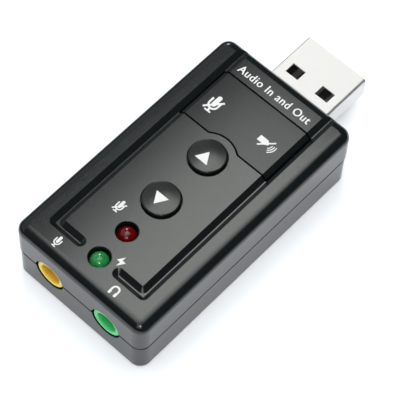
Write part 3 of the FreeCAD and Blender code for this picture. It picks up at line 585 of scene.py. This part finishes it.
def melamine(name):
    """White melamine board of the table: plain and matt, with a mottle that the eye hardly sees."""
    made, tree, place = new_material(name)

    # Near the object the board is lit and keeps the shadow, with a lift that brings it to white.
    path = add(tree, "ShaderNodeLightPath")
    seen = add(tree, "ShaderNodeMath", {
        0: path.outputs["Is Camera Ray"], 1: path.outputs["Is Glossy Ray"],
    }, operation="MAXIMUM")
    shown = add(tree, "ShaderNodeMath", {
        0: seen.outputs["Value"], 1: path.outputs["Is Transmission Ray"],
    }, operation="MAXIMUM")
    lift = add(tree, "ShaderNodeMath", {0: shown.outputs["Value"], 1: TABLE_LIFT}, operation="MULTIPLY")
    mottle = add(tree, "ShaderNodeTexNoise", {"Vector": place, "Scale": per(MOTTLE_SIZE)})
    shade = add(tree, "ShaderNodeMix", {
        "Factor": mottle.outputs["Fac"], 6: colour("#e7ebf2"), 7: colour("#ebeff6"),
    }, data_type="RGBA")
    near = add(tree, "ShaderNodeBsdfPrincipled", {
        "Base Color": shade.outputs[2], "Roughness": 0.9, "Specular IOR Level": 0.0,
        "Emission Color": colour(WHITE), "Emission Strength": lift.outputs["Value"],
    })

    # Further out it fades into plain white.
    far = add(tree, "ShaderNodeEmission", {"Color": colour(WHITE), "Strength": shown.outputs["Value"]})
    reach = add(tree, "ShaderNodeVectorMath", {0: place}, operation="LENGTH")
    fade = add(tree, "ShaderNodeMapRange", {
        "Value": reach.outputs["Value"], "From Min": LIT_REACH, "From Max": WHITE_REACH,
    }, interpolation_type="SMOOTHSTEP")
    both = add(tree, "ShaderNodeMixShader", {
        0: fade.outputs["Result"], 1: near.outputs["BSDF"], 2: far.outputs["Emission"],
    })

    # Painted reflection: in reflections only, the table's white ends a little way from the case and the table
    # beyond is dim, though the camera sees it white. That paints a dark band along the rounded edges.
    across = add(tree, "ShaderNodeVectorMath", {0: place}, operation="ABSOLUTE")
    beyond = add(tree, "ShaderNodeVectorMath", {
        0: across.outputs["Vector"], 1: COVER_HIGH,
    }, operation="SUBTRACT")
    eased = add(tree, "ShaderNodeVectorMath", {
        0: beyond.outputs["Vector"], 1: DARK_REFLECTION_SHAPE,
    }, operation="MULTIPLY")
    sides = add(tree, "ShaderNodeSeparateXYZ", {"Vector": eased.outputs["Vector"]})
    gap = add(tree, "ShaderNodeMath", {0: sides.outputs["X"], 1: sides.outputs["Y"]}, operation="MAXIMUM")
    loss = add(tree, "ShaderNodeMapRange", {
        "Value": gap.outputs["Value"], "From Min": DARK_REFLECTION_START, "From Max": DARK_REFLECTION_END, "To Max": DARK_REFLECTION_LOSS,
    }, interpolation_type="SMOOTHSTEP")
    # Painted dark reflection: it acts on reflected rays only.
    painted_dark_reflection = add(tree, "ShaderNodeMath", {
        0: path.outputs["Is Glossy Ray"], 1: loss.outputs["Result"],
    }, operation="MULTIPLY")
    dim = add(tree, "ShaderNodeEmission", {"Color": colour(WHITE), "Strength": DIM_LEVEL})
    surface = add(tree, "ShaderNodeMixShader", {
        0: painted_dark_reflection.outputs["Value"], 1: both.outputs["Shader"], 2: dim.outputs["Emission"],
    })
    add(tree, "ShaderNodeOutputMaterial", {"Surface": surface.outputs["Shader"]})
    return made


def make_table():
    """A round white table top, a hair below the object."""
    mesh = bmesh.new()
    bmesh.ops.create_circle(mesh, cap_ends=True, radius=TABLE_RADIUS, segments=TABLE_STEPS)
    bmesh.ops.translate(mesh, vec=(0, 0, -TABLE_DROP), verts=mesh.verts[:])
    table = make_piece("white_table", mesh, melamine("white_melamine_board"))


# Lamps, studio and camera

def make_softbox():
    """The large softbox overhead. Its left and far edges fall where the panel's sheen fades in the picture.
    Its cloth is brightest in the left far corner and fades to the right and to the front."""
    data = bpy.data.lights.new("softbox", "AREA")
    data.shape = "RECTANGLE"
    data.size = SOFTBOX_RIGHT - SOFTBOX_LEFT
    data.size_y = SOFTBOX_FAR - SOFTBOX_FRONT
    data.energy = SOFTBOX_POWER
    data.use_nodes = True
    cloth = data.node_tree
    cloth.nodes.clear()
    spot = add(cloth, "ShaderNodeNewGeometry")
    ways = add(cloth, "ShaderNodeSeparateXYZ", {"Vector": spot.outputs["Position"]})
    to_right = add(cloth, "ShaderNodeMapRange", {
        "Value": ways.outputs["X"], "From Min": RIGHT_FADE, "From Max": SOFTBOX_RIGHT,
        "To Min": 1.0, "To Max": 0.0,
    })
    to_front = add(cloth, "ShaderNodeMapRange", {
        "Value": ways.outputs["Y"], "From Min": SOFTBOX_FRONT, "From Max": FRONT_FADE,
        "To Min": 0.0, "To Max": 1.0,
    })
    glow = add(cloth, "ShaderNodeMath", {
        0: to_right.outputs["Result"], 1: to_front.outputs["Result"],
    }, operation="MULTIPLY")
    shine = add(cloth, "ShaderNodeEmission", {"Color": colour("#fbfff9"), "Strength": glow.outputs["Value"]})
    add(cloth, "ShaderNodeOutputLight", {"Surface": shine.outputs["Emission"]})
    softbox = bpy.data.objects.new("softbox", data)
    softbox.location = ((SOFTBOX_LEFT + SOFTBOX_RIGHT) / 2, (SOFTBOX_FRONT + SOFTBOX_FAR) / 2, LIGHT_HEIGHT)
    scene.collection.objects.link(softbox)


def make_lamp(name, size, power, place, aimed=True):
    """A square lamp that faces the object or, where it isn't aimed, straight down."""
    data = bpy.data.lights.new(name, "AREA")
    data.size = size
    data.energy = power
    lamp = bpy.data.objects.new(name, data)
    lamp.location = place
    if aimed:
        lamp.rotation_euler = Vector(place).to_track_quat("Z", "Y").to_euler()
    scene.collection.objects.link(lamp)
    return lamp


def make_studio():
    """A dim studio whose left wall is grey above a low dark band."""
    studio = bpy.data.worlds.new("dim_studio")
    studio.use_nodes = True
    tree = studio.node_tree
    tree.nodes.clear()
    heading = add(tree, "ShaderNodeTexCoord")
    ways = add(tree, "ShaderNodeSeparateXYZ", {"Vector": heading.outputs["Generated"]})
    wall = add(tree, "ShaderNodeMapRange", {
        "Value": ways.outputs["X"], "From Min": LEFT_WALL_FULL, "From Max": LEFT_WALL_END,
        "To Min": LEFT_LEVEL, "To Max": DIM_LEVEL,
    }, interpolation_type="SMOOTHSTEP")
    level = add(tree, "ShaderNodeMapRange", {
        "Value": ways.outputs["Z"], "From Min": LOW_BAND_FULL, "From Max": LOW_BAND_END,
        "To Min": DIM_LEVEL, "To Max": wall.outputs["Result"],
    }, interpolation_type="SMOOTHSTEP")
    surround = add(tree, "ShaderNodeBackground", {
        "Color": colour(WHITE), "Strength": level.outputs["Result"],
    })
    add(tree, "ShaderNodeOutputWorld", {"Surface": surround.outputs["Background"]})
    scene.world = studio


def make_camera():
    """The picture's viewpoint: above the jack end and to the right, through a long lens."""
    azimuth, elevation, roll = (
        math.radians(angle) for angle in (CAMERA_AZIMUTH, CAMERA_ELEVATION, CAMERA_ROLL))
    back = Vector((
        math.sin(azimuth) * math.cos(elevation),
        -math.cos(azimuth) * math.cos(elevation),
        math.sin(elevation),
    ))
    right = Vector((math.cos(azimuth), math.sin(azimuth), 0))
    up = back.cross(right)
    across = right * math.cos(roll) + up * math.sin(roll)
    upwards = up * math.cos(roll) - right * math.sin(roll)
    spot = Vector(CAMERA_TARGET) + back * CAMERA_DISTANCE + across * CAMERA_ACROSS + upwards * CAMERA_UPWARDS
    data = bpy.data.cameras.new("camera")
    data.sensor_width = CAMERA_SENSOR
    data.lens = CAMERA_LENS
    data.clip_start = CAMERA_NEAREST * MM
    camera = bpy.data.objects.new("camera", data)
    axes = Matrix((across, upwards, back)).transposed().to_4x4()
    camera.matrix_world = Matrix.Translation(spot * MM) @ axes
    scene.collection.objects.link(camera)
    scene.camera = camera


make_table()
make_softbox()

# Light that the ceiling throws back: it brightens matt surfaces and is too even to show as a reflection.
bounce = make_lamp("ceiling_bounce", size=2.0, power=40.0, place=(0.2, 0.0, LIGHT_HEIGHT), aimed=False)
bounce.visible_glossy = False

# A softbox far behind. Only the satin metal of the plug throws its light towards the camera.
make_lamp("rear_softbox", size=0.8, power=22.0, place=(-2.3, 2.3, LIGHT_HEIGHT))

# A small lamp beside the camera. It gives the glints on the lights, the caps and the near corner.
make_lamp("front_lamp", size=0.1, power=0.45, place=(0.342, -0.413, 0.45))

# A weak broad softbox in front. It lights the jacks' bores and the near sides of the lights.
make_lamp("front_softbox", size=0.9, power=3.0, place=(0.5, -0.85, 0.8))

make_studio()
make_camera()
